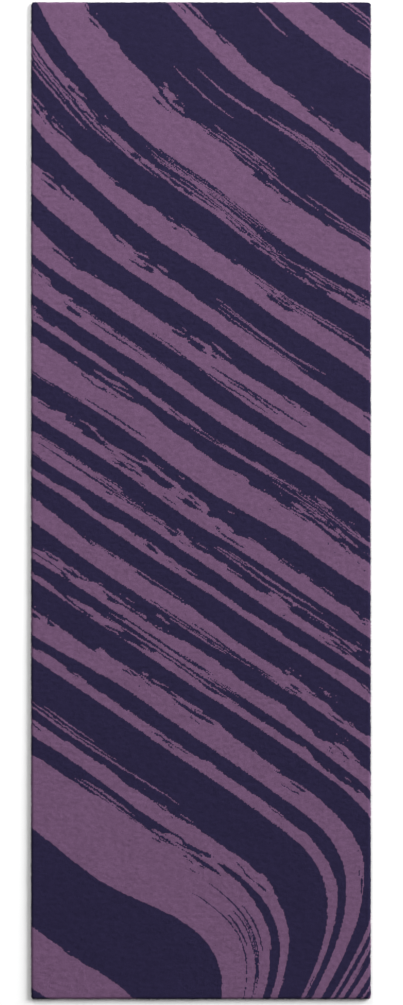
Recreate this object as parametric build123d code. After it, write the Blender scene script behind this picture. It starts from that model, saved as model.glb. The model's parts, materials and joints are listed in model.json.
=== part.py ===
from build123d import *
import math
import os

os.makedirs("parts", exist_ok=True)

# Hand-tufted runner rug in two colours of cut pile, lying flat. Millimetres.
# X runs across the rug, Y along it with the head at +Y, and Z up.
# The origin is the centre of the underside.

# ---------------------------------------------------------------- overall size
WIDTH = 800.0
LENGTH = 2350.0
THICKNESS = 12.0
CORNER_RADIUS = 8.0         # corners of the pile, seen from above
EDGE_ROUNDING = 6.0         # how far the outermost tufts lean out and down
EDGE_OVERHANG = 2.0         # pile beyond the folded edge of the base cloth

# ---------------------------------------------------------------- layers
TAPE_THICK = 0.6
CLOTH_THICK = 0.6
SCRIM_THICK = 0.4
LATEX_THICK = 1.4
FITTING_GAP = 0.1           # air between layers that lie side by side

BACKING_THICK = TAPE_THICK + CLOTH_THICK
SCRIM_BOTTOM = BACKING_THICK
LATEX_BOTTOM = SCRIM_BOTTOM + SCRIM_THICK
SHEET_BOTTOM = LATEX_BOTTOM + LATEX_THICK
PILE_BOTTOM = SHEET_BOTTOM + CLOTH_THICK
PILE_HEIGHT = THICKNESS - PILE_BOTTOM

# ---------------------------------------------------------------- bound edge
HEM_WIDTH = 40.0            # base cloth folded back under the rug
TAPE_WIDTH = 38.0
TAPE_INSET = 1.5            # from the fold to the outer edge of the tape
TAPE_SEAM_GAP = 0.5         # between the inner edge of the tape and the backing
MITRE_GAP = 0.4             # between two tapes at a corner
THREAD_WIDTH = 1.2
THREAD_THICK = 0.4
THREAD_FROM_EDGE = 4.0      # from either edge of the tape to its row of stitches
THREAD_END_MARGIN = 4.0     # from the mitre to the last stitch

CLOTH_WIDTH = WIDTH - 2 * EDGE_OVERHANG
CLOTH_LENGTH = LENGTH - 2 * EDGE_OVERHANG
BACKING_INSET = max(HEM_WIDTH, TAPE_INSET + TAPE_WIDTH) + TAPE_SEAM_GAP

# ---------------------------------------------------------------- blank label
LABEL_WIDTH = 60.0
LABEL_LENGTH = 90.0
LABEL_THICK = 0.5
LABEL_FROM_TAPE = 30.0
LABEL_SEAM_INSET = 4.0

# ---------------------------------------------------------------- pattern
# Every boundary between the colours is the same curve, slid along one slanted axis.
# (along, across) are the rug's coordinates turned by SLANT, and a boundary at level c
# is the curve along = c - curve_offset(across). It sweeps down from the head on the
# left, and curls back at both ends of the rug.
SLANT = 40.0                # degrees
LEAN = 0.30
FOOT_CURL_START = -680.0
FOOT_CURL = 19.0e-6         # per mm squared
HEAD_CURL_START = 350.0
HEAD_CURL = 0.9e-6          # per mm squared
COLOUR_GAP = 0.4            # between navy and purple tufts

# Purple strokes from foot to head: level of the lower edge, and width.
STROKES = [
    (-1235, 145), (-905, 160), (-720, 35), (-560, 25), (-500, 55), (-395, 20),
    (-350, 30), (-280, 45), (-185, 20), (-130, 40), (-45, 45), (45, 60),
    (140, 20), (195, 30), (265, 55), (370, 45), (475, 60), (595, 20),
    (655, 110), (905, 40), (1085, 85),
]
LEVEL_MARGIN = 100.0        # past the outermost levels of the outline
CURVE_REACH = 1300.0        # how far across a boundary is drawn, either way
CURVE_STEP = 100.0


def slab(width, length, bottom, top, radius=0.0):
    """A flat layer, centred on the origin, with rounded corners if a radius is given."""
    outline = RectangleRounded(width, length, radius) if radius else Rectangle(width, length)
    return Pos(0, 0, bottom) * extrude(outline, top - bottom)


# ---------------------------------------------------------------- pile


def curve_offset(across):
    """How far a colour boundary has slid along by this place across the sweep."""
    foot = max(0.0, FOOT_CURL_START - across)
    head = max(0.0, across - HEAD_CURL_START)
    return LEAN * across + FOOT_CURL / 3 * foot**3 - HEAD_CURL / 3 * head**3


def boundary_points(level):
    """Points in the rug's plane along the colour boundary at this level."""
    slant = math.radians(SLANT)
    steps = round(2 * CURVE_REACH / CURVE_STEP)
    points = []
    for step in range(steps + 1):
        across = -CURVE_REACH + step * CURVE_STEP
        along = level - curve_offset(across)
        x = along * math.cos(slant) - across * math.sin(slant)
        y = along * math.sin(slant) + across * math.cos(slant)
        points.append((x, y))
    return points


def level_at(x, y):
    """Level of the boundary that passes through a point of the rug's plane."""
    slant = math.radians(SLANT)
    along = x * math.cos(slant) + y * math.sin(slant)
    across = y * math.cos(slant) - x * math.sin(slant)
    return along + curve_offset(across)


def pile_block():
    """All of the pile as one slab, with its top edge rounded over."""
    block = slab(WIDTH, LENGTH, PILE_BOTTOM, THICKNESS, CORNER_RADIUS)
    top_edges = block.edges().group_by(Axis.Z)[-1]
    return fillet(top_edges, EDGE_ROUNDING)


def stroke_of_pile(block, low, high):
    """The part of the pile between two levels."""
    low_edge = Spline(boundary_points(low + COLOUR_GAP / 2))
    high_edge = Spline(boundary_points(high - COLOUR_GAP / 2))
    ends = [Line(low_edge @ 0, high_edge @ 0), Line(low_edge @ 1, high_edge @ 1)]
    outline = make_face([low_edge, high_edge] + ends)
    cutter = Pos(0, 0, PILE_BOTTOM) * extrude(outline, PILE_HEIGHT)
    return (block & cutter).solids()


def pile_colours():
    """All navy solids and all purple solids of the pile."""
    block = pile_block()
    lowest = level_at(-WIDTH / 2, -LENGTH / 2) - LEVEL_MARGIN
    highest = level_at(WIDTH / 2, LENGTH / 2) + LEVEL_MARGIN
    navy = []
    purple = []
    navy_start = lowest
    for low, width in STROKES:
        navy += stroke_of_pile(block, navy_start, low)
        purple += stroke_of_pile(block, low, low + width)
        navy_start = low + width
    navy += stroke_of_pile(block, navy_start, highest)
    return Compound(children=navy), Compound(children=purple)


# ---------------------------------------------------------------- cloth layers


def primary_cloth():
    """Base cloth that the tufts are set in: top sheet, folded edge and hem underneath."""
    folded = slab(CLOTH_WIDTH, CLOTH_LENGTH, TAPE_THICK, PILE_BOTTOM, CORNER_RADIUS)
    inner_width = CLOTH_WIDTH - 2 * CLOTH_THICK
    inner_length = CLOTH_LENGTH - 2 * CLOTH_THICK
    inner_radius = CORNER_RADIUS - CLOTH_THICK
    filling = slab(inner_width, inner_length, BACKING_THICK, SHEET_BOTTOM, inner_radius)
    opening = slab(
        CLOTH_WIDTH - 2 * HEM_WIDTH,
        CLOTH_LENGTH - 2 * HEM_WIDTH,
        TAPE_THICK,
        BACKING_THICK,
    )
    return folded - filling - opening


def filling_layer(bottom, thickness):
    """A layer that fills the folded base cloth from edge to edge."""
    inset = CLOTH_THICK + FITTING_GAP
    radius = CORNER_RADIUS - inset
    return slab(
        CLOTH_WIDTH - 2 * inset,
        CLOTH_LENGTH - 2 * inset,
        bottom,
        bottom + thickness,
        radius,
    )


def label_place():
    """Centre of the label on the underside, in the foot corner at +X."""
    x = CLOTH_WIDTH / 2 - BACKING_INSET - LABEL_FROM_TAPE - LABEL_WIDTH / 2
    y = -CLOTH_LENGTH / 2 + BACKING_INSET + LABEL_FROM_TAPE + LABEL_LENGTH / 2
    return Pos(x, y, 0)


def backing_cloth():
    """Woven cloth glued over the underside, pressed in where the label is sewn on."""
    cloth = slab(
        CLOTH_WIDTH - 2 * BACKING_INSET,
        CLOTH_LENGTH - 2 * BACKING_INSET,
        0,
        BACKING_THICK,
    )
    clearance = 2 * FITTING_GAP
    pocket = slab(LABEL_WIDTH + clearance, LABEL_LENGTH + clearance, 0, LABEL_THICK)
    return cloth - label_place() * pocket


def label_seam(extra):
    """Rectangular row of stitches round the label, wider by extra on each side."""
    outer_width = LABEL_WIDTH - 2 * LABEL_SEAM_INSET + 2 * extra
    outer_length = LABEL_LENGTH - 2 * LABEL_SEAM_INSET + 2 * extra
    row = THREAD_WIDTH + 2 * extra
    outer = slab(outer_width, outer_length, 0, THREAD_THICK)
    return outer - slab(outer_width - 2 * row, outer_length - 2 * row, 0, THREAD_THICK)


def care_label():
    """Blank woven label, with a shallow groove for the thread that holds it."""
    body = slab(LABEL_WIDTH, LABEL_LENGTH, 0, LABEL_THICK)
    return label_place() * (body - label_seam(FITTING_GAP))


def label_thread():
    """Thread that sews the label to the backing cloth."""
    return label_place() * label_seam(0)


# ---------------------------------------------------------------- binding tape


def mitred_strip(half_length):
    """One side's tape as it lies at -X, its corners cut at 45 degrees."""
    outer_half = half_length - MITRE_GAP
    inner_half = outer_half - TAPE_WIDTH
    corners = [
        (0, -outer_half),
        (TAPE_WIDTH, -inner_half),
        (TAPE_WIDTH, inner_half),
        (0, outer_half),
    ]
    return extrude(make_face(Polyline(corners, close=True)), TAPE_THICK)


def thread_row(half_length, from_outer_edge, extra):
    """A straight row of stitches along the strip, wider and longer by extra."""
    half = half_length - MITRE_GAP - from_outer_edge - THREAD_END_MARGIN + extra
    row = slab(THREAD_WIDTH + 2 * extra, 2 * half, 0, THREAD_THICK)
    return Pos(from_outer_edge, 0, 0) * row


def bound_side(side_length, across, turn):
    """Tape, outer thread and inner thread of one side, turned about Z into its place."""
    half_length = side_length / 2 - TAPE_INSET
    rows = {"outer": THREAD_FROM_EDGE, "inner": TAPE_WIDTH - THREAD_FROM_EDGE}
    place = Rot(0, 0, turn) * Pos(-across / 2 + TAPE_INSET, 0, 0)
    tape = mitred_strip(half_length)
    threads = {}
    for row, from_outer_edge in rows.items():
        tape -= thread_row(half_length, from_outer_edge, FITTING_GAP)
        threads[row] = place * thread_row(half_length, from_outer_edge, 0)
    return place * tape, threads


# ---------------------------------------------------------------- all nodes

pile_navy, pile_purple = pile_colours()

nodes = {
    "pile_navy": pile_navy,
    "pile_purple": pile_purple,
    "primary_cloth": primary_cloth(),
    "latex_coat": filling_layer(LATEX_BOTTOM, LATEX_THICK),
    "reinforcing_scrim": filling_layer(SCRIM_BOTTOM, SCRIM_THICK),
    "backing_cloth": backing_cloth(),
    "care_label": care_label(),
    "care_label_thread": label_thread(),
}

sides = {
    "left": (CLOTH_LENGTH, CLOTH_WIDTH, 0),
    "foot": (CLOTH_WIDTH, CLOTH_LENGTH, 90),
    "right": (CLOTH_LENGTH, CLOTH_WIDTH, 180),
    "head": (CLOTH_WIDTH, CLOTH_LENGTH, 270),
}
for side, (side_length, across, turn) in sides.items():
    tape, threads = bound_side(side_length, across, turn)
    nodes[f"binding_tape_{side}"] = tape
    for row, thread in threads.items():
        nodes[f"binding_thread_{side}_{row}"] = thread

for name, shape in nodes.items():
    export_step(shape, f"parts/{name}.step")
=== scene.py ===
"""Looks of a hand-tufted runner rug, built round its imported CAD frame. Metres throughout."""

import json
import math

import bmesh
import bpy
import numpy as np
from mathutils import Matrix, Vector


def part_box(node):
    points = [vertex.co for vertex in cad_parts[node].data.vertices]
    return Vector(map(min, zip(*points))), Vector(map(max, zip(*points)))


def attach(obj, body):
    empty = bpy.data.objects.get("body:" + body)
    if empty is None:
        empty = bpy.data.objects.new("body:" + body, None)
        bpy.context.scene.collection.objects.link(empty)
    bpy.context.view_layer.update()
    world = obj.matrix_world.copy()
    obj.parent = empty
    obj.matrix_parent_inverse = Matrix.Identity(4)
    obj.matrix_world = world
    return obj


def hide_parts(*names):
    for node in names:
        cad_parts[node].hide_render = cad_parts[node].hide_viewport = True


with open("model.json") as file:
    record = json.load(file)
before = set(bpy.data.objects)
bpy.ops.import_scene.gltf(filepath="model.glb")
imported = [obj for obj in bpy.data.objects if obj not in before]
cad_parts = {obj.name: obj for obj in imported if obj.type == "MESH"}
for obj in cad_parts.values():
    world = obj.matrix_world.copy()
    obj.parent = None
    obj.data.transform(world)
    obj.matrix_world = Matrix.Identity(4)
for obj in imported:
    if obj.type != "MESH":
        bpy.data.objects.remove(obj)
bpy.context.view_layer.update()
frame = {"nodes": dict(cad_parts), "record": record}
slot_colours = {row["slot"]: row["base_color"][:3] for row in frame["record"]["materials"]}

# ---------------------------------------------------------------- sizes from the frame
PILE_LOW, PILE_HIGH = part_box("pile_navy")
HALF_WIDTH = PILE_HIGH.x
HALF_LENGTH = PILE_HIGH.y
PILE_TOP = PILE_HIGH.z
PILE_FLOOR = PILE_LOW.z
CORNER_RADIUS = 0.008       # pile and base cloth, seen from above

# ---------------------------------------------------------------- pattern
# The same family of curves as the CAD strokes: a point's level is constant along a
# colour boundary, and `across` runs along the strokes.
SLANT = math.radians(40.0)
LEAN = 0.30
FOOT_CURL_START = -0.680
FOOT_CURL = 19.0            # per square metre
HEAD_CURL_START = 0.350
HEAD_CURL = 0.9             # per square metre

DRIFT = 0.010               # slow wandering of every boundary
EDGE_JITTER = 0.0012        # less than a tuft either way
WET_EDGE = 0.006            # depth of a stroke's upper edge where it is laid down wet
DRY_EDGE = 0.034            # and how much deeper where it is dragged out dry
HAIRLINE_GROUPS = 36

# ---------------------------------------------------------------- pile
TUFT_PITCH = 0.0025
TUFT_JITTER = 0.34          # how far a valley strays from the grid, in pitches
TIP_JITTER = 0.15           # how far a tip strays from the middle of its tuft, in pitches
TIP_LEAN = 0.12             # how far tips lean together, patch by patch, in pitches
EDGE_ROUNDING = 0.006
EDGE_DROOP = 0.0010         # how far the outermost tufts hang below the pile's floor
EDGE_FLAT = CORNER_RADIUS - EDGE_ROUNDING
EDGE_TURNED = EDGE_FLAT + EDGE_ROUNDING * math.pi / 2
EDGE_RUN = EDGE_TURNED + PILE_TOP - EDGE_ROUNDING - PILE_FLOOR + EDGE_DROOP
REACH_X = HALF_WIDTH - CORNER_RADIUS + EDGE_RUN     # half sizes of the pile's surface,
REACH_Y = HALF_LENGTH - CORNER_RADIUS + EDGE_RUN    # measured over its rounded edges
BASE_INSET = 0.0025         # feet of the outermost tufts, in from the pile's outline
VALLEY_DEPTH = 0.0009
TUFT_RAGGED = 0.00018       # uneven cutting height, tuft to tuft
TIP_DROP = 0.0003           # keeps the tallest tips close to the pile's own height
EDGE_SPLAY = 0.0028         # how far single tufts at the sides stand out of the outline
SECTIONS = 8                # pieces per colour, each of whole strokes
FIBRES_PER_AREA = 380000    # loose fibre ends to the square metre, at the rug's edges
FIBRE_RADIUS = 0.00010
FIBRE_BAND = (0.42, 0.95)   # where they root, as a share of the way over the rounded edge
FIBRE_LENGTHS = (0.0013, 0.0032)
FIBRE_ROOT = 0.0007         # how deep they start
FIBRE_BEND = 0.0008
PILE_TONE = {"pile_purple": 0.855, "pile_navy": 0.785}

# ---------------------------------------------------------------- back of the rug
CLOTH_THICK = 0.0006        # as in the CAD, and so is the hem
HEM_WIDTH = 0.040
FOLD_REACH = 0.010          # from the outline in to where the folded cloth lies flat
BACKING_RIPPLE = 0.00012
STITCH_PERIOD = 0.008
LABEL_STITCH_PERIOD = 0.004
STITCH_INSET = 0.0006       # middle of the label's stitches, in from the outline of its thread
THREAD_RADIUS = 0.00028
PLY_DEPTH = 0.16            # groove between the two plies, as a share of the radius
SCRIM_PITCH = 0.015
SCRIM_MARGIN = 0.004
SCRIM_YARN_RADIUS = 0.00035
TURNS = {"left": 0, "foot": 90, "right": 180, "head": 270}     # each tape about Z, degrees

# ---------------------------------------------------------------- studio values
KEY_PLACE = (13.0, 7.2, 8.0)        # far off past the right side: shadows fall left and footward
KEY_SIZE = 11.0
KEY_POWER = 5040.0
HEAD_LIGHT_PLACE = (-1.6, 4.2, 3.0)     # brightens the head end of the rug
HEAD_LIGHT_SIZE = 2.4
HEAD_LIGHT_POWER = 158.0
FILL_STRENGTH = 0.32
BACKDROP_STRENGTH = 1.05            # the same world as the camera sees it
FLOOR_TONE = 0.865
FLOOR_HALF = 15.0
FLOOR_DROP = 0.0002                 # floor under the underside, so that they don't flicker
CAMERA_DISTANCE = 12.0
CAMERA_SHIFT = (0.0013, -0.0044)    # the middle of the view, off the middle of the rug
SEEN_LENGTH = 1.0080 * 2 * HALF_LENGTH      # what the height of the picture spans at the pile


def lattice_noise(a, b, seed):
    """Smooth random field in -1..1 over lattice coordinates a and b."""
    size = 512
    values = np.random.default_rng(seed).uniform(-1.0, 1.0, (size, size))
    i = np.floor(a).astype(int)
    j = np.floor(b).astype(int)
    part_a = a - i
    part_b = b - j
    part_a = part_a * part_a * (3 - 2 * part_a)
    part_b = part_b * part_b * (3 - 2 * part_b)
    i_next = (i + 1) % size
    j_next = (j + 1) % size
    i = i % size
    j = j % size
    near = values[i, j] * (1 - part_a) + values[i_next, j] * part_a
    far = values[i, j_next] * (1 - part_a) + values[i_next, j_next] * part_a
    return near * (1 - part_b) + far * part_b


# ---------------------------------------------------------------- where the colours go


def sweep(x, y):
    """Level and across of points in the rug's plane."""
    along = x * math.cos(SLANT) + y * math.sin(SLANT)
    across = y * math.cos(SLANT) - x * math.sin(SLANT)
    foot = np.maximum(0.0, FOOT_CURL_START - across)
    head = np.maximum(0.0, across - HEAD_CURL_START)
    offset = LEAN * across + FOOT_CURL / 3 * foot**3 - HEAD_CURL / 3 * head**3
    return along + offset, across


def loose_parts(node):
    """Points of each separate solid of a CAD node, as arrays."""
    copy = bmesh.new()
    copy.from_mesh(frame["nodes"][node].data)
    bmesh.ops.remove_doubles(copy, verts=copy.verts, dist=1e-6)
    waiting = set(copy.verts)
    parts = []
    while waiting:
        front = [waiting.pop()]
        found = []
        while front:
            vert = front.pop()
            found.append(tuple(vert.co))
            for edge in vert.link_edges:
                other = edge.other_vert(vert)
                if other in waiting:
                    waiting.remove(other)
                    front.append(other)
        parts.append(np.array(found))
    copy.free()
    return parts


def purple_strokes():
    """Lowest and highest level of each purple stroke of the CAD pile, foot to head."""
    spans = []
    for points in loose_parts("pile_purple"):
        level, _ = sweep(points[:, 0], points[:, 1])
        spans.append((level.min(), level.max()))
    strokes = []
    for low, high in sorted(spans):
        if strokes and low < strokes[-1][1]:
            strokes[-1] = (strokes[-1][0], max(high, strokes[-1][1]))
        else:
            strokes.append((low, high))
    return strokes


def bristles(level, across):
    """Uneven loading of the brush, -1..1, in short flecks that run along the strokes."""
    bent_level = level + 0.003 * lattice_noise(level / 0.020, across / 0.050, 11)
    bent_across = across + 0.015 * lattice_noise(level / 0.015, across / 0.070, 12)
    broad = lattice_noise(bent_level / 0.0065, bent_across / 0.060, 13)
    fine = lattice_noise(bent_level / 0.0040, bent_across / 0.024, 14)
    return 0.55 * broad + 0.45 * fine


def hairlines(level, across):
    """Tufts on thin single lines that run beside the strokes, in small groups."""
    rng = np.random.default_rng(41)
    marked = np.zeros(level.shape, bool)
    for _ in range(HAIRLINE_GROUPS):
        x = rng.uniform(-HALF_WIDTH, HALF_WIDTH)
        y = rng.uniform(-HALF_LENGTH, HALF_LENGTH)
        group_level, group_across = sweep(x, y)
        for line in range(rng.integers(1, 5)):
            line_level = group_level + 0.0085 * line + rng.normal(0, 0.001)
            middle = group_across + rng.normal(0, 0.04)
            half_length = rng.uniform(0.04, 0.20)
            width = rng.uniform(0.0025, 0.0055)
            near = np.abs(across - middle) < half_length
            beside = across[near]
            taper = np.sqrt(1 - ((beside - middle) / half_length) ** 2)
            wander = 0.004 * lattice_noise(beside / 0.12, np.full(beside.shape, 97 * line_level), 42)
            wander += 0.0007 * lattice_noise(beside / 0.012, level[near] / 0.008, 43)
            marked[near] |= np.abs(level[near] - line_level - wander) < width / 2 * taper
    return marked


def is_purple(x, y, strokes):
    """Which tufts are purple: the CAD strokes with brushed, dry and wandering edges."""
    level, across = sweep(x, y)
    level = level + DRIFT * lattice_noise(x / 0.22, y / 0.22, 15)
    level = level + EDGE_JITTER * lattice_noise(x / 0.0045, y / 0.0045, 16)
    speck = np.random.default_rng(20).uniform(-1, 1, level.shape)
    loading = bristles(level, across) + 0.06 * speck
    purple = np.zeros(level.shape, bool)
    for number, (low, high) in enumerate(strokes):
        near = (level > low - 0.08) & (level < high + 0.13)
        beside = across[near]
        row = np.full(beside.shape, 3.7 * number)
        swell = 0.30 * min(high - low, 0.08) * lattice_noise(beside / 0.35, row, 17)
        sway = 0.20 * min(high - low, 0.06) * lattice_noise(beside / 0.25, row, 18)
        dryness = np.clip(lattice_noise(beside / 0.13, row, 19) + 0.35, 0, 1)
        depth = WET_EDGE + (DRY_EDGE + 0.25 * (high - low)) * dryness**2
        upper = high + swell + depth * (loading[near] - 0.12)
        lower = low + sway - 0.0014 * loading[near]
        purple[near] |= (level[near] > lower) & (level[near] < upper)
    return purple ^ hairlines(level, across)


# ---------------------------------------------------------------- meshes from arrays


def mesh_piece(name, points, faces, smooth):
    """A new object from an array of points and a list of (n, k) face arrays."""
    mesh = bpy.data.meshes.new(name)
    corners = np.concatenate([group.ravel() for group in faces])
    sizes = np.concatenate([np.full(len(group), group.shape[1]) for group in faces])
    starts = np.concatenate(([0], np.cumsum(sizes)[:-1]))
    rounded = np.concatenate([np.full(len(group), s) for group, s in zip(faces, smooth)])
    mesh.vertices.add(len(points))
    mesh.vertices.foreach_set("co", np.asarray(points, np.float32).ravel())
    mesh.loops.add(len(corners))
    mesh.loops.foreach_set("vertex_index", corners.astype(np.int32))
    mesh.polygons.add(len(sizes))
    mesh.polygons.foreach_set("loop_start", starts.astype(np.int32))
    mesh.update(calc_edges=True)
    mesh.polygons.foreach_set("use_smooth", rounded)
    piece = bpy.data.objects.new(name, mesh)
    bpy.context.scene.collection.objects.link(piece)
    return piece


def even_steps(low, high, step):
    """Evenly spaced places from low to high, about step apart."""
    return np.linspace(low, high, round((high - low) / step) + 1)


def slab_piece(name, low, high, step, under, over):
    """A closed slab over a box in plan, between the heights under(x, y) and over(x, y)."""
    x, y = np.meshgrid(even_steps(low.x, high.x, step), even_steps(low.y, high.y, step))
    return shell_piece(name, x, y, under(x, y), over(x, y))


def shell_piece(name, x, y, under, over):
    """A closed shell from grids of x and y and of its lower and upper heights."""
    index = np.arange(x.size).reshape(x.shape)
    points = np.concatenate([np.stack([x, y, z], -1).reshape(-1, 3) for z in (under, over)])
    cells = np.stack([index[:-1, :-1], index[:-1, 1:], index[1:, 1:], index[1:, :-1]], -1).reshape(-1, 4)
    rim = np.concatenate([index[0, :-1], index[:-1, -1], index[-1, :0:-1], index[:0:-1, 0]])
    following = np.roll(rim, -1)
    walls = np.stack([rim, following, following + x.size, rim + x.size], -1)
    return mesh_piece(name, points, [cells[:, ::-1], cells + x.size, walls], [True, True, False])


def tube_piece(name, paths, radii, sides, squash=1.0, twist=0.0):
    """Closed tubes along rows of path points: paths is (tubes, rings, 3), radii (tubes, rings)."""
    tubes, rings, _ = paths.shape
    along = np.gradient(paths, axis=1)
    along /= np.linalg.norm(along, axis=-1, keepdims=True)
    aside = np.stack([-along[..., 1], along[..., 0], np.zeros((tubes, rings))], -1)
    aside /= np.linalg.norm(aside, axis=-1, keepdims=True)
    above = np.cross(along, aside)
    angle = np.linspace(0, 2 * math.pi, sides, endpoint=False)
    plies = 1 + PLY_DEPTH * np.cos(2 * (angle - twist * np.arange(rings)[:, None])) * (twist != 0)
    reach = (radii[..., None] * plies)[..., None]
    sideways = np.cos(angle)[:, None] * aside[:, :, None]
    upwards = squash * np.sin(angle)[:, None] * above[:, :, None]
    points = (paths[:, :, None] + reach * (sideways + upwards)).reshape(-1, 3)
    index = np.arange(len(points)).reshape(tubes, rings, sides)
    here = index[:, :-1]
    ahead = index[:, 1:]
    quads = np.stack([here, np.roll(here, -1, 2), np.roll(ahead, -1, 2), ahead], -1).reshape(-1, 4)
    return mesh_piece(name, points, [quads, index[:, 0, ::-1], index[:, -1]], [True, False, False])


def set_attribute(piece, name, values):
    """A number at each point of a piece, for its material to read."""
    layer = piece.data.attributes.new(name, "FLOAT", "POINT")
    layer.data.foreach_set("value", np.asarray(values, np.float32))


def set_bake_map(piece, plan):
    """A UV map named for baking, from a (loops, 2) array."""
    layer = piece.data.uv_layers.new(name="OFBake")
    layer.data.foreach_set("uv", np.asarray(plan, np.float32).ravel())


def map_from_above(piece):
    """Lays faces that look up on one half of the bake map and the rest on the other."""
    mesh = piece.data
    places = np.empty(3 * len(mesh.vertices), np.float32)
    mesh.vertices.foreach_get("co", places)
    corners = np.empty(len(mesh.loops), np.int32)
    mesh.loops.foreach_get("vertex_index", corners)
    normals = np.empty(3 * len(mesh.polygons), np.float32)
    mesh.polygons.foreach_get("normal", normals)
    sizes = np.empty(len(mesh.polygons), np.int32)
    mesh.polygons.foreach_get("loop_total", sizes)
    flat = places.reshape(-1, 3)[:, :2]
    plan = ((flat - flat.min(0)) / (flat.max(0) - flat.min(0)))[corners]
    looks_up = np.repeat(normals.reshape(-1, 3)[:, 2] > 0, sizes)
    plan[:, 0] = 0.49 * plan[:, 0] + 0.51 * looks_up
    set_bake_map(piece, plan)


def finish_piece(piece, material, slot, *nodes):
    """Gives a new piece its finish, its body and the CAD nodes it stands for."""
    piece.data.materials.append(material)
    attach(piece, "root")
    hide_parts(*nodes)


# ---------------------------------------------------------------- pile


def past_edge(p, q):
    """For points p, q of the pile's unrolled surface: the nearest place in its flat middle,
    the direction out from there and the run over the rounded edge."""
    core_x = np.clip(p, CORNER_RADIUS - HALF_WIDTH, HALF_WIDTH - CORNER_RADIUS)
    core_y = np.clip(q, CORNER_RADIUS - HALF_LENGTH, HALF_LENGTH - CORNER_RADIUS)
    over_x = p - core_x
    over_y = q - core_y
    reach = np.hypot(over_x, over_y) + 1e-12
    run = np.maximum(np.abs(over_x), np.abs(over_y))
    return core_x, core_y, over_x / reach, over_y / reach, run


def wrap(p, q):
    """Places and outward directions of points p, q of the pile's unrolled surface."""
    core_x, core_y, toward_x, toward_y, run = past_edge(p, q)
    turn = np.clip((run - EDGE_FLAT) / EDGE_ROUNDING, 0.0, math.pi / 2)
    out = np.minimum(run, EDGE_FLAT) + EDGE_ROUNDING * np.sin(turn)
    fall = EDGE_ROUNDING * (1 - np.cos(turn)) + np.maximum(0.0, run - EDGE_TURNED)
    place = np.stack([core_x + toward_x * out, core_y + toward_y * out, PILE_TOP - fall], -1)
    facing = np.stack([toward_x * np.sin(turn), toward_y * np.sin(turn), np.cos(turn)], -1)
    return place, facing


def feet_of(p, q):
    """Where the tufts at p, q are held in the cloth, drawn in under the rounded edge."""
    core_x, core_y, toward_x, toward_y, run = past_edge(p, q)
    out = run / EDGE_RUN * (CORNER_RADIUS - BASE_INSET)
    floor = np.full(p.shape, PILE_FLOOR)
    return np.stack([core_x + toward_x * out, core_y + toward_y * out, floor], -1)


def unevenness(p, q):
    """Slow rise and fall of the pile's surface, and the dimples of a few tufts across."""
    broad = lattice_noise(p / 0.11, q / 0.09, 34)
    dimples = lattice_noise(p / 0.0090, q / 0.0060, 35)
    return 0.00020 * broad + 0.00034 * dimples


def pile_grid():
    """The whole pile on one grid of tufts: tips, valleys between them, feet and shades."""
    rng = np.random.default_rng(21)
    columns = even_steps(-REACH_X, REACH_X, TUFT_PITCH)
    rows = even_steps(-REACH_Y, REACH_Y, TUFT_PITCH)
    p, q = np.meshgrid(columns, rows)
    feet = feet_of(p, q)
    loose = np.zeros(p.shape)
    loose[1:-1, 1:-1] = TUFT_JITTER * TUFT_PITCH
    p = p + loose * rng.uniform(-1, 1, p.shape)
    q = q + loose * rng.uniform(-1, 1, p.shape)
    middle_p = (p[:-1, :-1] + p[:-1, 1:] + p[1:, :-1] + p[1:, 1:]) / 4
    middle_q = (q[:-1, :-1] + q[:-1, 1:] + q[1:, :-1] + q[1:, 1:]) / 4
    lean_p = TIP_LEAN * lattice_noise(middle_p / 0.045, middle_q / 0.030, 31)
    lean_q = TIP_LEAN * lattice_noise(middle_p / 0.045, middle_q / 0.030, 32)
    tip_p = middle_p + TUFT_PITCH * (lean_p + TIP_JITTER * rng.uniform(-1, 1, middle_p.shape))
    tip_q = middle_q + TUFT_PITCH * (lean_q + TIP_JITTER * rng.uniform(-1, 1, middle_p.shape))

    valleys, facing = wrap(p, q)
    depth = VALLEY_DEPTH * (1 + 0.20 * rng.uniform(-1, 1, p.shape))
    valleys = valleys + facing * (unevenness(p, q) - depth)[..., None]
    tips, facing = wrap(tip_p, tip_q)
    rise = TUFT_RAGGED * rng.normal(0, 1, tip_p.shape).clip(-2, 2) - TIP_DROP
    sideways = 1 - facing[..., 2].clip(0, 1)
    rise += EDGE_SPLAY * sideways * rng.uniform(0, 1, tip_p.shape)
    tips = tips + facing * (unevenness(tip_p, tip_q) + rise)[..., None]
    shade = 0.4 * rng.normal(0, 0.5, tip_p.shape).clip(-1, 1)
    shade += 0.6 * lattice_noise(tip_p / 0.0080, tip_q / 0.0056, 33)
    normals = valley_normals(valleys, tips)
    return {
        "middle": (middle_p, middle_q),
        "valleys": valleys,
        "valley_normals": normals,
        "tips": tips,
        "feet": feet,
        "shade": shade,
        "valley_map": np.stack([p, q], -1),
        "tip_map": np.stack([tip_p, tip_q], -1),
    }


def valley_normals(valleys, tips):
    """Surface directions at the valleys, which go on smoothly from colour to colour."""
    corners = [valleys[:-1, :-1], valleys[:-1, 1:], valleys[1:, 1:], valleys[1:, :-1]]
    total = np.zeros(valleys.shape)
    shares = [total[:-1, :-1], total[:-1, 1:], total[1:, 1:], total[1:, :-1]]
    for k in range(4):
        facing = np.cross(corners[k] - tips, corners[(k + 1) % 4] - tips)
        shares[k] += facing
        shares[(k + 1) % 4] += facing
    return total / np.linalg.norm(total, axis=-1, keepdims=True)


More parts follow.
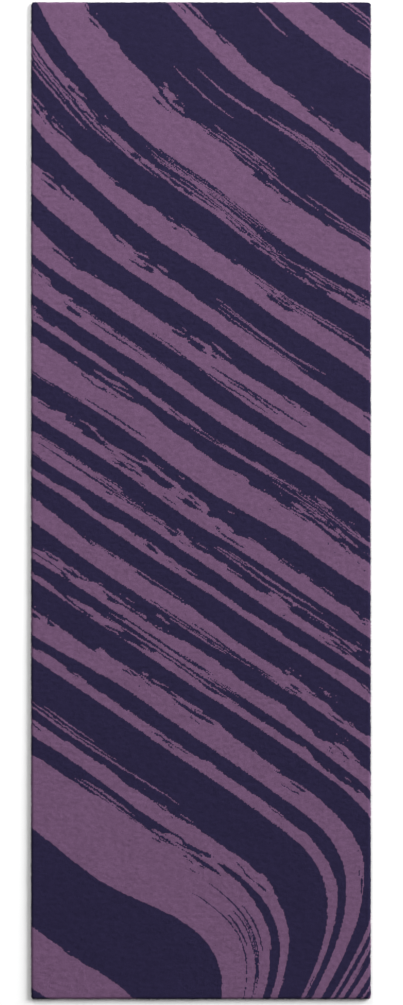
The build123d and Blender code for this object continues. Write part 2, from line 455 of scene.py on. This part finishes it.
def tuft_piece(name, cells, grid):
    """One closed piece of pile from the chosen cells of the grid."""
    columns = cells.shape[1] + 1
    total = columns * (cells.shape[0] + 1)
    held = np.pad(cells, 1)
    j, i = np.nonzero(cells)
    keys = []
    for up, right in [(0, 0), (0, 1), (1, 1), (1, 0)]:
        beside = held[j + 1, i + 2 * right]
        beyond = held[j + 2 * up, i + 1]
        diagonal = held[j + 2 * up, i + 2 * right]
        only_corners_touch = diagonal & ~beside & ~beyond & (up == 0)
        keys.append((j + up) * columns + i + right + total * only_corners_touch)
    used, corner = np.unique(np.stack(keys, -1), return_inverse=True)
    corner = corner.reshape(-1, 4)
    spots = used % total
    tip = len(used) + np.arange(len(j))
    foot = corner + len(used) + len(j)
    points = np.concatenate([
        grid["valleys"].reshape(-1, 3)[spots],
        grid["tips"][j, i],
        grid["feet"].reshape(-1, 3)[spots],
    ])
    tops = [np.stack([corner[:, k], corner[:, (k + 1) % 4], tip], -1) for k in range(4)]
    rest = [foot[:, ::-1]]
    for k, (up, right) in enumerate([(-1, 0), (0, 1), (1, 0), (0, -1)]):
        bare = ~held[j + 1 + up, i + 1 + right]
        near = corner[bare, k]
        far = corner[bare, (k + 1) % 4]
        rest.append(np.stack([near, foot[bare, k], foot[bare, (k + 1) % 4], far], -1))
    piece = mesh_piece(name, points, tops + rest, [True] * 4 + [False] * 5)

    unrolled = np.concatenate([
        grid["valley_map"].reshape(-1, 2)[spots],
        grid["tip_map"][j, i],
        grid["valley_map"].reshape(-1, 2)[spots],
    ])
    plan = (unrolled - unrolled.min(0)) / (unrolled.max(0) - unrolled.min(0))
    on_top = plan[np.concatenate([group.ravel() for group in tops])]
    on_rest = plan[np.concatenate([group.ravel() for group in rest])]
    set_bake_map(piece, np.concatenate([on_top * (0.92, 1), on_rest * (0.05, 1) + (0.95, 0)]))

    normals = np.zeros((len(points), 3))
    normals[:len(used)] = grid["valley_normals"].reshape(-1, 3)[spots]
    piece.data.normals_split_custom_set_from_vertices(normals)

    low_points = np.zeros(len(used))
    set_attribute(piece, "tuft_shade", np.concatenate([low_points, grid["shade"][j, i], low_points]))
    # tuft_height is 0 at valleys and feet and 1 at tips; the pile material paints shade in the valleys
    # from it
    set_attribute(piece, "tuft_height", np.concatenate([low_points, np.ones(len(j)), low_points]))
    return piece


def sections_of(stroke, chosen):
    """Section number of each stroke, so that sections hold about as many tufts each."""
    counts = np.bincount(stroke[chosen], minlength=stroke.max() + 1)
    middles = np.cumsum(counts) - counts / 2
    return np.floor(middles / counts.sum() * SECTIONS).astype(int).clip(0, SECTIONS - 1)


def build_pile(strokes, finishes):
    """The navy and the purple pile, each in a few pieces of whole strokes."""
    grid = pile_grid()
    purple = is_purple(*grid["middle"], strokes)
    level, _ = sweep(*grid["middle"])
    centres = np.array([(low + high) / 2 for low, high in strokes])
    between = (centres[1:] + centres[:-1]) / 2
    for slot, chosen, stroke in (
        ("pile_purple", purple, np.searchsorted(between, level)),
        ("pile_navy", ~purple, np.searchsorted(centres, level)),
    ):
        section = sections_of(stroke, chosen)[stroke]
        for number in range(SECTIONS):
            piece = tuft_piece(f"{slot}_{number + 1}", chosen & (section == number), grid)
            finish_piece(piece, finishes[slot], slot, slot)


def build_edge_fibres(strokes, finishes):
    """Loose fibre ends that stand out of the outermost tufts and soften the outline."""
    rng = np.random.default_rng(22)
    count = round(4 * REACH_X * REACH_Y * FIBRES_PER_AREA)
    p = rng.uniform(-REACH_X, REACH_X, count)
    q = rng.uniform(-REACH_Y, REACH_Y, count)
    run = past_edge(p, q)[-1] / EDGE_RUN
    outermost = (run > FIBRE_BAND[0]) & (run < FIBRE_BAND[1])
    p = p[outermost]
    q = q[outermost]
    roots, facing = wrap(p, q)
    roots -= FIBRE_ROOT * facing
    share = np.linspace(0, 1, 3)[:, None]
    directions = facing + rng.uniform(-0.7, 0.7, facing.shape)
    ends = directions * rng.uniform(*FIBRE_LENGTHS, (len(p), 1))
    bend = rng.uniform(-FIBRE_BEND, FIBRE_BEND, facing.shape)
    paths = roots[:, None] + share * ends[:, None] + share**2 * bend[:, None]
    radii = np.broadcast_to(FIBRE_RADIUS * (1 - 0.6 * share[:, 0]), paths.shape[:2])
    purple = is_purple(p, q, strokes)
    for slot, chosen in (("pile_purple", purple), ("pile_navy", ~purple)):
        piece = tube_piece(f"{slot}_edge_fibres", paths[chosen], radii[chosen], 3)
        # as tall as tips, so the loose fibres get none of the pile's painted valley shade
        set_attribute(piece, "tuft_height", np.ones(len(piece.data.vertices)))
        map_from_above(piece)
        finish_piece(piece, finishes[slot], slot, slot)


# ---------------------------------------------------------------- cloths and latex


def past_box(x, y, low, high):
    """How far x, y lies outside a box in plan; less than 0 inside it."""
    return np.maximum.reduce([low.x - x, x - high.x, low.y - y, y - high.y])


def edge_lift(x, y, low, high, reach):
    """1 at the outline of a box, falling to 0 at reach inside it."""
    return np.clip(1 + past_box(x, y, low, high) / reach, 0, 1) ** 2


def ring(inset, half_width, half_length, per_side, per_corner):
    """Points round a rounded rectangle, drawn in by inset, in step from ring to ring."""
    radius = max(CORNER_RADIUS - inset, 0.001)
    centre_x = half_width - inset - radius
    centre_y = half_length - inset - radius
    points = []
    for quarter in range(4):
        sign_x = 1 if quarter in (0, 3) else -1
        sign_y = 1 if quarter in (0, 1) else -1
        for step in range(per_corner + 1):
            angle = math.pi / 2 * (quarter + step / per_corner)
            x = sign_x * centre_x + radius * math.cos(angle)
            y = sign_y * centre_y + radius * math.sin(angle)
            points.append((x, y))
        ahead_x, ahead_y = [(-1, 1), (-1, -1), (1, -1), (1, 1)][quarter]
        start = points[-1]
        along_y = quarter % 2 == 1
        end_x = start[0] if along_y else ahead_x * centre_x
        end_y = ahead_y * centre_y if along_y else start[1]
        for step in range(1, per_side):
            share = step / per_side
            points.append((start[0] + share * (end_x - start[0]), start[1] + share * (end_y - start[1])))
    return np.array(points)


def build_base_cloth():
    """Base cloth: the sheet under the pile, the rounded fold and the hem turned under."""
    low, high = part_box("primary_cloth")
    fold = (high.z - low.z) / 2
    middle = (high.z + low.z) / 2
    quarter = math.pi / 2

    def turn(radius, start, end, steps):
        """Round of the fold in section: insets from the outline and heights."""
        return [
            (fold - radius * math.cos(angle), middle + radius * math.sin(angle))
            for angle in np.linspace(start, end, steps)
        ]

    profile = [(HEM_WIDTH, high.z), (FOLD_REACH, high.z)]
    profile += turn(fold, quarter, -quarter, 9)
    profile += [(FOLD_REACH, low.z), (HEM_WIDTH, low.z)]
    profile += [(HEM_WIDTH, low.z + CLOTH_THICK), (FOLD_REACH, low.z + CLOTH_THICK)]
    profile += turn(fold - CLOTH_THICK, -quarter, quarter, 7)
    profile += [(FOLD_REACH, high.z - CLOTH_THICK), (HEM_WIDTH, high.z - CLOTH_THICK)]
    rings = []
    for inset, z in profile:
        flat = ring(inset, high.x, high.y, 90, 8)
        rings.append(np.column_stack([flat, np.full(len(flat), z)]))
    points = np.array(rings)
    wander = lattice_noise(points[0, :, 0] / 0.05, points[0, :, 1] / 0.05, 51)
    loose = 0.00012 * wander * np.array([inset < 0.005 for inset, _ in profile])[:, None]
    points[..., :2] -= loose[..., None] * np.sign(points[..., :2])
    index = np.arange(points[..., 0].size).reshape(points.shape[:2])
    here = index[:-1]
    ahead = index[1:]
    strip = np.stack([here, ahead, np.roll(ahead, -1, 1), np.roll(here, -1, 1)], -1).reshape(-1, 4)
    faces = [strip, index[:1], index[-1:, ::-1]]
    piece = mesh_piece("base_cloth", points.reshape(-1, 3), faces, [True, False, False])
    map_from_above(piece)
    finish_piece(piece, cloth_material("base_cloth", plain_weave, 0.0015), "base_cloth", "primary_cloth")


def build_latex():
    """Latex as it dries on the back of the base cloth: a little wavy, rounded at its edges."""
    low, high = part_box("latex_coat")

    def under(x, y):
        waves = lattice_noise(x / 0.050, y / 0.070, 52) + lattice_noise(x / 0.018, y / 0.018, 53)
        return low.z + 0.00006 * (1 + waves / 2) + 0.0003 * edge_lift(x, y, low, high, 0.010)

    def over(x, y):
        waves = lattice_noise(x / 0.030, y / 0.030, 54)
        return high.z - 0.00004 * (1 + waves) - 0.0002 * edge_lift(x, y, low, high, 0.010)

    piece = slab_piece("latex_coat", low, high, 0.009, under, over)
    map_from_above(piece)
    finish_piece(piece, latex_material(), "latex", "latex_coat")


def build_scrim():
    """Open net of crossing yarns, each over one and under the next."""
    low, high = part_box("reinforcing_scrim")
    middle = (low.z + high.z) / 2
    xs = even_steps(low.x + SCRIM_MARGIN, high.x - SCRIM_MARGIN, SCRIM_PITCH)
    ys = even_steps(low.y + SCRIM_MARGIN, high.y - SCRIM_MARGIN, SCRIM_PITCH)
    x, y = np.meshgrid(xs, ys)
    checks = (-1.0) ** np.add.outer(np.arange(len(ys)), np.arange(len(xs)))
    x = x + 0.0004 * lattice_noise(x / 0.03, y / 0.12, 55)
    y = y + 0.0004 * lattice_noise(x / 0.12, y / 0.03, 56)
    for name, sign, order in (("lengthwise", 1, (1, 0)), ("crosswise", -1, (0, 1))):
        paths = np.stack([x, y, middle + sign * 0.00006 * checks], -1).transpose(*order, 2)
        radii = np.full(paths.shape[:2], SCRIM_YARN_RADIUS)
        piece = tube_piece(f"scrim_yarns_{name}", paths, radii, 6, squash=0.30)
        map_from_above(piece)
        finish_piece(piece, yarn_material("scrim"), "scrim", "reinforcing_scrim")


def build_backing():
    """Backing cloth with glue ripples, pressed in where the label is sewn on."""
    low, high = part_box("backing_cloth")
    label_low, label_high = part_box("care_label")
    label_thick = label_high.z

    def under(x, y):
        past_label = past_box(x, y, label_low, label_high)
        pressed = np.clip(1 - (past_label - 0.0005) / 0.006, 0, 1)
        ripple = lattice_noise(x / 0.075, y / 0.050, 57) + 0.6 * lattice_noise(x / 0.022, y / 0.030, 58)
        height = BACKING_RIPPLE * (1.6 + ripple) * (1 - pressed)
        return height + label_thick * pressed + 0.00035 * edge_lift(x, y, low, high, 0.008)

    def over(x, y):
        return high.z - 0.00015 * edge_lift(x, y, low, high, 0.008)

    piece = slab_piece("backing_cloth", low, high, 0.0065, under, over)
    map_from_above(piece)
    finish_piece(piece, cloth_material("backing", plain_weave, 0.0032), "backing", "backing_cloth")


# ---------------------------------------------------------------- tapes, label and thread


def stitch_row(start, end, period):
    """Starts and ends, in plan, of the stitches of one straight row."""
    start = np.array(start)
    end = np.array(end)
    count = round(np.linalg.norm(end - start) / period)
    place = np.arange(count)[:, None] / count
    step = (end - start) / count
    begins = start + place * (end - start)
    return begins + 0.14 * step, begins + 0.86 * step


def thread_piece(name, starts, ends, high, rings, seed):
    """Two-ply stitches that lie on the underside and dive into the cloth at both ends."""
    rng = np.random.default_rng(seed)
    share = np.linspace(0, 1, rings)[:, None]
    slip = rng.normal(0, 0.00008, (2, len(starts), 2)).clip(-0.00016, 0.00016)
    flat = (starts + slip[0])[:, None] * (1 - share) + (ends + slip[1])[:, None] * share
    dive = np.abs(2 * share[:, 0] - 1) ** 4
    outside = 1.18 * THREAD_RADIUS
    z = outside + (high - outside) * dive
    paths = np.concatenate([flat, np.broadcast_to(z[:, None], flat.shape[:2] + (1,))], -1)
    radii = np.broadcast_to(THREAD_RADIUS * (1 - 0.25 * dive), flat.shape[:2])
    return tube_piece(name, paths, radii, 8, twist=0.9)


def build_label():
    """Blank satin label, a little wavy, with a folded hem at both ends and its stitches."""
    low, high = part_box("care_label")
    sewn_low, sewn_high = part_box("care_label_thread")

    def under(x, y):
        wavy = 0.00005 * (1 + lattice_noise(x / 0.020, y / 0.025, 61))
        hem = np.abs(y - (low.y + high.y) / 2) > (high.y - low.y) / 2 - 0.006
        from_stitches = past_box(x, y, sewn_low, sewn_high) + STITCH_INSET
        valley = np.exp(-((from_stitches / 0.0009) ** 2))
        rim = edge_lift(x, y, low, high, 0.001)
        return wavy + 0.00007 * (1 - hem) + 0.00026 * valley + 0.00010 * rim

    def over(x, y):
        return np.full(x.shape, high.z)

    piece = slab_piece("care_label", low, high, 0.0007, under, over)
    map_from_above(piece)
    finish_piece(piece, satin_material(), "label", "care_label")

    left = sewn_low.x + STITCH_INSET
    right = sewn_high.x - STITCH_INSET
    foot = sewn_low.y + STITCH_INSET
    head = sewn_high.y - STITCH_INSET
    corners = [(left, foot), (right, foot), (right, head), (left, head)]
    rows = [stitch_row(corners[k], corners[(k + 1) % 4], LABEL_STITCH_PERIOD) for k in range(4)]
    starts = np.concatenate([row[0] for row in rows])
    ends = np.concatenate([row[1] for row in rows])
    piece = thread_piece("care_label_thread", starts, ends, sewn_high.z + 0.0001, 9, 62)
    map_from_above(piece)
    finish_piece(piece, yarn_material("thread"), "thread", "care_label_thread")


def strip_on_side(node, side):
    """A strip along one side: its middle's distance from the rug's, half width, half length."""
    low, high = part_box(node)
    middle = (low + high) / 2
    half = (high - low) / 2
    if side in ("left", "right"):
        return abs(middle.x), half.x, half.y
    return abs(middle.y), half.y, half.x


def build_tape(side, tape_material, thread_material):
    """One side's mitred tape and its two rows of stitches, as it lies on that side."""
    tape_node = f"binding_tape_{side}"
    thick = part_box(tape_node)[1].z
    middle, half_width, half = strip_on_side(tape_node, side)
    width = 2 * half_width
    outer = middle + half_width
    turn = math.radians(TURNS[side])

    def place(u, v):
        """Plan of a point u in from the outer edge and v along the side."""
        x = u - outer
        return x * math.cos(turn) - v * math.sin(turn), x * math.sin(turn) + v * math.cos(turn)

    rows = {}
    for row in ("outer", "inner"):
        row_middle, _, row_half = strip_on_side(f"binding_thread_{side}_{row}", side)
        rows[row] = (outer - row_middle, row_half)

    near_edges = [0, 0.0004, 0.0015, width - 0.0015, width - 0.0004, width]
    near_rows = [row_u + gap for row_u, _ in rows.values() for gap in np.linspace(-0.0012, 0.0012, 5)]
    between = np.linspace(0.007, width - 0.007, 8)
    us = np.sort(np.concatenate([near_edges, near_rows, between]))
    u, share = np.meshgrid(us, even_steps(-1, 1, 0.0021 / half))
    v = share * (half - u)
    valley = np.zeros(u.shape)
    for row_u, row_half in rows.values():
        pull = 0.75 + 0.25 * np.cos(2 * math.pi * (v + row_half) / STITCH_PERIOD)
        valley += pull * np.exp(-(((u - row_u) / 0.0008) ** 2)) * (np.abs(v) < row_half + 0.001)
    puff = np.sin(math.pi * u / width)
    ends = np.clip(1 - (half - u - np.abs(v)) / 0.0015, 0, 1) ** 2
    edges = np.clip(1 - np.minimum(u, width - u) / 0.0010, 0, 1) ** 2
    ripple = lattice_noise(u / 0.012, v / 0.016, 71 + TURNS[side])
    under = 0.00014 - 0.00007 * puff + 0.00004 * ripple + 0.00032 * valley
    under += 0.00018 * np.maximum(edges, ends)
    x, y = place(u, v)
    piece = shell_piece(tape_node, x, y, under, np.full(u.shape, thick))
    map_from_above(piece)
    finish_piece(piece, tape_material, "tape", tape_node)

    for number, (row, (row_u, row_half)) in enumerate(rows.items()):
        starts, ends = stitch_row((row_u, -row_half), (row_u, row_half), STITCH_PERIOD)
        starts = np.stack(place(starts[:, 0], starts[:, 1]), -1)
        ends = np.stack(place(ends[:, 0], ends[:, 1]), -1)
        name = f"binding_thread_{side}_{row}"
        piece = thread_piece(name, starts, ends, thick - 0.0001, 11, 81 + TURNS[side] + number)
        map_from_above(piece)
        finish_piece(piece, thread_material, "thread", name)


# ---------------------------------------------------------------- material nodes


def add_node(tree, kind, inputs=None, **settings):
    """A shader node with its settings, and its inputs set or linked by name."""
    made = tree.nodes.new(kind)
    for key, value in settings.items():
        setattr(made, key, value)
    for key, value in (inputs or {}).items():
        if isinstance(value, bpy.types.NodeSocket):
            tree.links.new(value, made.inputs[key])
        else:
            made.inputs[key].default_value = value
    return made


def blank_material(name):
    """A material with only a Principled shader, with its tree and that shader."""
    material = bpy.data.materials.new(name)
    material.use_nodes = True
    tree = material.node_tree
    return material, tree, tree.nodes["Principled BSDF"]


def math_node(tree, operation, *values):
    """The result of one arithmetic step."""
    inputs = dict(enumerate(values))
    return add_node(tree, "ShaderNodeMath", inputs, operation=operation).outputs[0]


def remap(tree, value, low, high, lowest=0.0):
    """A value in lowest..1 spread over low..high."""
    inputs = {"Value": value, "From Min": lowest, "To Min": low, "To Max": high}
    return add_node(tree, "ShaderNodeMapRange", inputs).outputs["Result"]


def product(tree, *values):
    """Values multiplied together."""
    result = values[0]
    for value in values[1:]:
        result = math_node(tree, "MULTIPLY", result, value)
    return result


def stretched(tree, scale):
    """Object coordinates multiplied by a scale per axis."""
    place = add_node(tree, "ShaderNodeTexCoord").outputs["Object"]
    spread = add_node(tree, "ShaderNodeVectorMath", {0: place, 1: scale}, operation="MULTIPLY")
    return spread.outputs[0]


def noise(tree, scale, detail=2.0):
    """Noise of 0..1 with so many cells to the metre along each axis."""
    inputs = {"Vector": stretched(tree, scale), "Scale": 1.0, "Detail": detail}
    return add_node(tree, "ShaderNodeTexNoise", inputs).outputs["Fac"]


def set_colour(tree, shader, slot, value):
    """The slot's own colour, made lighter or darker by value."""
    plain = add_node(tree, "ShaderNodeRGB")
    plain.outputs[0].default_value = (*slot_colours[slot], 1.0)
    shaded = add_node(tree, "ShaderNodeHueSaturation", {"Color": plain.outputs[0], "Value": value})
    shader.inputs["Base Color"].default_value = (*slot_colours[slot], 1.0)
    tree.links.new(shaded.outputs["Color"], shader.inputs["Base Color"])


def set_surface(tree, shader, height, depth, strength, roughness, specular, sheen):
    """Bump, roughness and sheen of a cloth from its height in 0..1, depth metres deep."""
    bump = add_node(tree, "ShaderNodeBump", {"Height": height, "Strength": strength, "Distance": depth})
    tree.links.new(bump.outputs["Normal"], shader.inputs["Normal"])
    tree.links.new(remap(tree, height, *roughness), shader.inputs["Roughness"])
    shader.inputs["Specular IOR Level"].default_value = specular
    shader.inputs["Sheen Weight"].default_value = sheen
    shader.inputs["Sheen Roughness"].default_value = 0.35


def pile_material(slot):
    """Dyed cut pile: heathered tufts, painted shade between them, fine fibre and a soft sheen."""
    material, tree, shader = blank_material(slot)
    shade = add_node(tree, "ShaderNodeAttribute", attribute_name="tuft_shade").outputs["Fac"]
    height = add_node(tree, "ShaderNodeAttribute", attribute_name="tuft_height").outputs["Fac"]
    rounded = math_node(tree, "MULTIPLY", height, math_node(tree, "SUBTRACT", 2.0, height))
    fibre = noise(tree, (2400, 2400, 2400))
    value = product(
        tree,
        PILE_TONE[slot],
        remap(tree, shade, 0.65, 1.35, lowest=-1.0),
        # painted shade: the pile is darker down in the valleys between tufts than at their tips
        remap(tree, rounded, 0.78, 1.05),
        remap(tree, noise(tree, (70, 110, 90), 3.0), 0.90, 1.10),
        remap(tree, noise(tree, (900, 900, 900)), 0.88, 1.12),
        remap(tree, fibre, 0.70, 1.30),
    )
    set_colour(tree, shader, slot, value)
    relief = math_node(tree, "MULTIPLY_ADD", fibre, 1.0, rounded)
    set_surface(tree, shader, relief, 0.00045, 0.7, (0.86, 1.0), 0.05, 0.05)
    return material


def threads_of(tree, pitch):
    """Rounded threads along y and along x, 0 at their sides and 1 at their crests."""
    scale = math.pi / pitch
    place = add_node(tree, "ShaderNodeSeparateXYZ", {0: stretched(tree, (scale, scale, 0))})
    return [math_node(tree, "ABSOLUTE", math_node(tree, "SINE", place.outputs[k])) for k in range(2)]


def plain_weave(tree, pitch):
    """Height of a plain weave: warp and weft take turns on top."""
    warp, weft = threads_of(tree, pitch)
    squares = stretched(tree, (1 / pitch, 1 / pitch, 0))
    turns = add_node(tree, "ShaderNodeTexChecker", {"Vector": squares, "Scale": 1.0}).outputs["Fac"]
    on_top = add_node(tree, "ShaderNodeMix", {"Factor": turns, "A": warp, "B": weft}, data_type="FLOAT")
    below = add_node(tree, "ShaderNodeMix", {"Factor": turns, "A": weft, "B": warp}, data_type="FLOAT")
    return product(tree, on_top.outputs["Result"], remap(tree, below.outputs["Result"], 0.55, 1.0))


def twill(tree, pitch):
    """Height of a twill: slanting ribs crossed by fine threads."""
    scale = math.pi / pitch
    place = add_node(tree, "ShaderNodeSeparateXYZ", {0: stretched(tree, (scale, scale, 0))})
    slant = math_node(tree, "ADD", place.outputs[0], place.outputs[1])
    ribs = math_node(tree, "ABSOLUTE", math_node(tree, "SINE", slant))
    across = math_node(tree, "SUBTRACT", place.outputs[0], place.outputs[1])
    threads = math_node(tree, "ABSOLUTE", math_node(tree, "SINE", across))
    return product(tree, ribs, remap(tree, threads, 0.7, 1.0))


def cloth_material(slot, weave, pitch):
    """Woven cloth: weave with painted shade between its threads, thick and thin yarns both ways, and a
    slightly uneven colour.
    """
    material, tree, shader = blank_material(slot)
    height = weave(tree, pitch)
    value = product(
        tree,
        # painted shade: darker where threads dip under and between them, lighter on their crests
        remap(tree, height, 0.80, 1.08),
        remap(tree, noise(tree, (250, 18, 10)), 0.88, 1.12),
        remap(tree, noise(tree, (18, 250, 10)), 0.88, 1.12),
        remap(tree, noise(tree, (9, 9, 9), 4.0), 0.92, 1.08),
    )
    set_colour(tree, shader, slot, value)
    set_surface(tree, shader, height, 0.25 * pitch, 0.8, (0.98, 0.86), 0.2, 0.15)
    return material


def yarn_material(slot):
    """Spun thread: fine fibres along it and small changes of colour."""
    material, tree, shader = blank_material(slot)
    fibre = noise(tree, (2200, 2200, 2200), 3.0)
    value = product(
        tree,
        remap(tree, fibre, 0.80, 1.20),
        remap(tree, noise(tree, (60, 60, 60)), 0.90, 1.10),
    )
    set_colour(tree, shader, slot, value)
    set_surface(tree, shader, fibre, 0.0001, 0.5, (0.9, 0.7), 0.3, 0.2)
    return material


def satin_material():
    """Satin label: long smooth floats that catch the light, over a fine weave."""
    material, tree, shader = blank_material("label")
    floats = noise(tree, (2600, 160, 200), 3.0)
    value = product(
        tree,
        remap(tree, floats, 0.94, 1.05),
        remap(tree, noise(tree, (40, 40, 40), 3.0), 0.95, 1.05),
    )
    set_colour(tree, shader, "label", value)
    set_surface(tree, shader, floats, 0.00008, 0.5, (0.42, 0.58), 0.4, 0.3)
    return material


def latex_material():
    """Dried latex: cloudy, faintly glossy, with drag marks and small pits."""
    material, tree, shader = blank_material("latex")
    clouds = noise(tree, (25, 25, 25), 5.0)
    drag = noise(tree, (160, 16, 60), 4.0)
    value = product(
        tree,
        remap(tree, clouds, 0.86, 1.12),
        remap(tree, drag, 0.94, 1.06),
    )
    set_colour(tree, shader, "latex", value)
    set_surface(tree, shader, drag, 0.0003, 0.5, (0.62, 0.42), 0.4, 0.0)
    return material


# ---------------------------------------------------------------- studio


def area_light(name, place, size, power):
    """A round soft light that looks at the middle of the rug."""
    lamp = bpy.data.lights.new(name, "AREA")
    lamp.shape = "DISK"
    lamp.size = size
    lamp.energy = power
    light = bpy.data.objects.new(name, lamp)
    light.location = place
    light.rotation_euler = (-light.location).to_track_quat("-Z", "Y").to_euler()
    bpy.context.scene.collection.objects.link(light)


def build_studio():
    """Pale floor, a soft key from the upper right, an even fill and the camera."""
    material, _, shader = blank_material("studio_floor")
    shader.inputs["Base Color"].default_value = (FLOOR_TONE, FLOOR_TONE, FLOOR_TONE, 1.0)
    shader.inputs["Roughness"].default_value = 0.9
    half = FLOOR_HALF
    z = -FLOOR_DROP
    points = np.array([(-half, -half, z), (half, -half, z), (half, half, z), (-half, half, z)])
    floor = mesh_piece("studio_floor", points, [np.array([[0, 1, 2, 3]])], [False])
    floor.data.materials.append(material)

    area_light("key", KEY_PLACE, KEY_SIZE, KEY_POWER)
    area_light("head_light", HEAD_LIGHT_PLACE, HEAD_LIGHT_SIZE, HEAD_LIGHT_POWER)

    world = bpy.data.worlds.new("studio")
    world.use_nodes = True
    tree = world.node_tree
    seen = add_node(tree, "ShaderNodeLightPath").outputs["Is Camera Ray"]
    fill = tree.nodes["Background"]
    fill.inputs["Color"].default_value = (1.0, 1.0, 1.0, 1.0)
    tree.links.new(remap(tree, seen, FILL_STRENGTH, BACKDROP_STRENGTH), fill.inputs["Strength"])
    bpy.context.scene.world = world
    bpy.context.scene.view_settings.view_transform = "Standard"

    lens = bpy.data.cameras.new("camera")
    lens.sensor_fit = "VERTICAL"
    lens.sensor_height = 36.0
    lens.lens = lens.sensor_height * CAMERA_DISTANCE / SEEN_LENGTH
    lens.clip_end = 60.0
    camera = bpy.data.objects.new("camera", lens)
    camera.location = (*CAMERA_SHIFT, PILE_TOP + CAMERA_DISTANCE)
    bpy.context.scene.collection.objects.link(camera)
    bpy.context.scene.camera = camera


strokes = purple_strokes()
pile_finishes = {slot: pile_material(slot) for slot in ("pile_purple", "pile_navy")}
build_pile(strokes, pile_finishes)
build_edge_fibres(strokes, pile_finishes)
build_base_cloth()
build_latex()
build_scrim()
build_backing()
build_label()
tape_finish = cloth_material("tape", twill, 0.0016)
thread_finish = yarn_material("thread")
for side in TURNS:
    build_tape(side, tape_finish, thread_finish)
build_studio()
